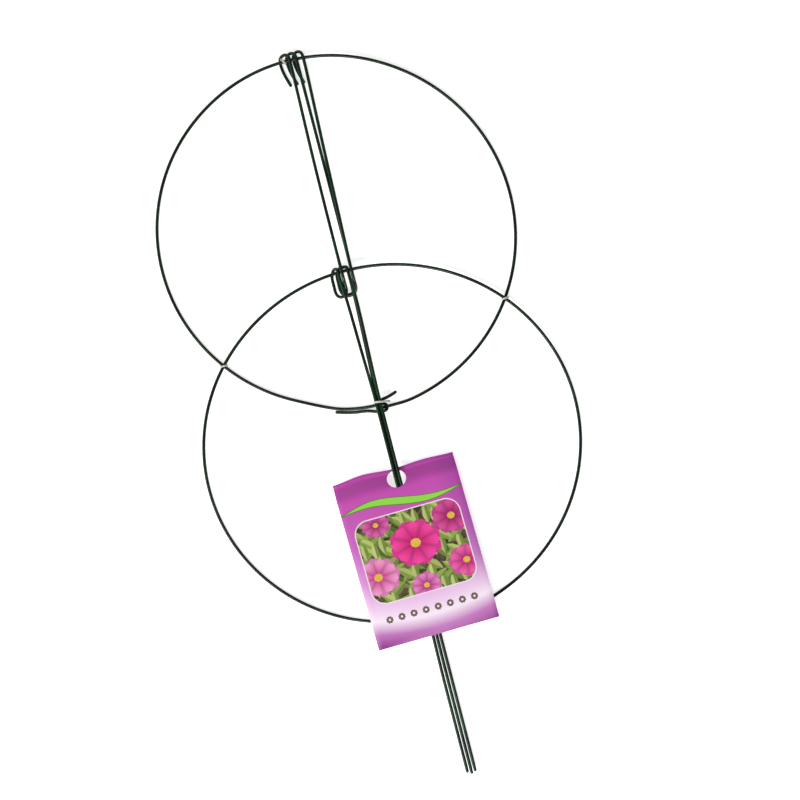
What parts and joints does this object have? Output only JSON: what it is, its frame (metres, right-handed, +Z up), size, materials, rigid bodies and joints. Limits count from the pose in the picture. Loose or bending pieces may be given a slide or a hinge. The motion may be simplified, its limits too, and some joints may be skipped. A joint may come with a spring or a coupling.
{
  "type": "wire plant support",
  "caption": "Folding garden plant support of coated wire: two round hoops hinged on three legs that fold flat, with a hang tag and packing ties.",
  "frame": {"origin": "middle of the ground the folded support covers, at the ground", "axes": "+Y along the legs from their tips to their crooks, +X to the right seen from above with the crooks at the top, +Z up from the ground it lies on"},
  "size_m": [0.4728, 0.9228, 0.0229],
  "materials": {
    "hoop_vinyl": "glossy dark green vinyl coating on steel wire",
    "leg_vinyl": "glossy dark green vinyl coating on steel wire",
    "tie_plastic": "soft pale plastic tie",
    "tag_card": "semi-gloss printed card"
  },
  "bodies": {
    "upper_hoop": {"upper_hoop": "hoop_vinyl", "hook_tie": "tie_plastic"},
    "middle_leg": {"middle_leg": "leg_vinyl", "clasp_tie": "tie_plastic"},
    "left_leg": {"left_leg": "leg_vinyl"},
    "right_leg": {"right_leg": "leg_vinyl"},
    "lower_hoop": {"lower_hoop": "hoop_vinyl", "left_crossing_tie": "tie_plastic", "right_crossing_tie": "tie_plastic"},
    "hang_tag": {"tag": "tag_card"}
  },
  "joints": [
    {"name": "middle_leg_fold", "type": "hinge", "parent": "upper_hoop", "child": "middle_leg", "pos_m": [0, 0.45139, 0.00756], "axis": [-1, 0, 0], "range_deg": [0, 90]},
    {"name": "left_leg_fold", "type": "hinge", "parent": "upper_hoop", "child": "left_leg", "pos_m": [0, 0.45139, 0.00756], "axis": [-1, 0, 0], "range_deg": [0, 90]},
    {"name": "right_leg_fold", "type": "hinge", "parent": "upper_hoop", "child": "right_leg", "pos_m": [0, 0.45139, 0.00756], "axis": [-1, 0, 0], "range_deg": [0, 90]},
    {"name": "lower_hoop_fold", "type": "hinge", "parent": "middle_leg", "child": "lower_hoop", "pos_m": [0, 0.18119, 0.01176], "axis": [1, 0, 0], "range_deg": [0, 90]},
    {"name": "tag_slide", "type": "slide", "parent": "middle_leg", "child": "hang_tag", "axis": [0, 1, 0], "range_m": [-0.175, 0.06]}
  ],
  "couplings": [
    {"joint": "left_leg_fold", "follows": "middle_leg_fold", "ratio": 1},
    {"joint": "right_leg_fold", "follows": "middle_leg_fold", "ratio": 1},
    {"joint": "lower_hoop_fold", "follows": "middle_leg_fold", "ratio": 1}
  ]
}
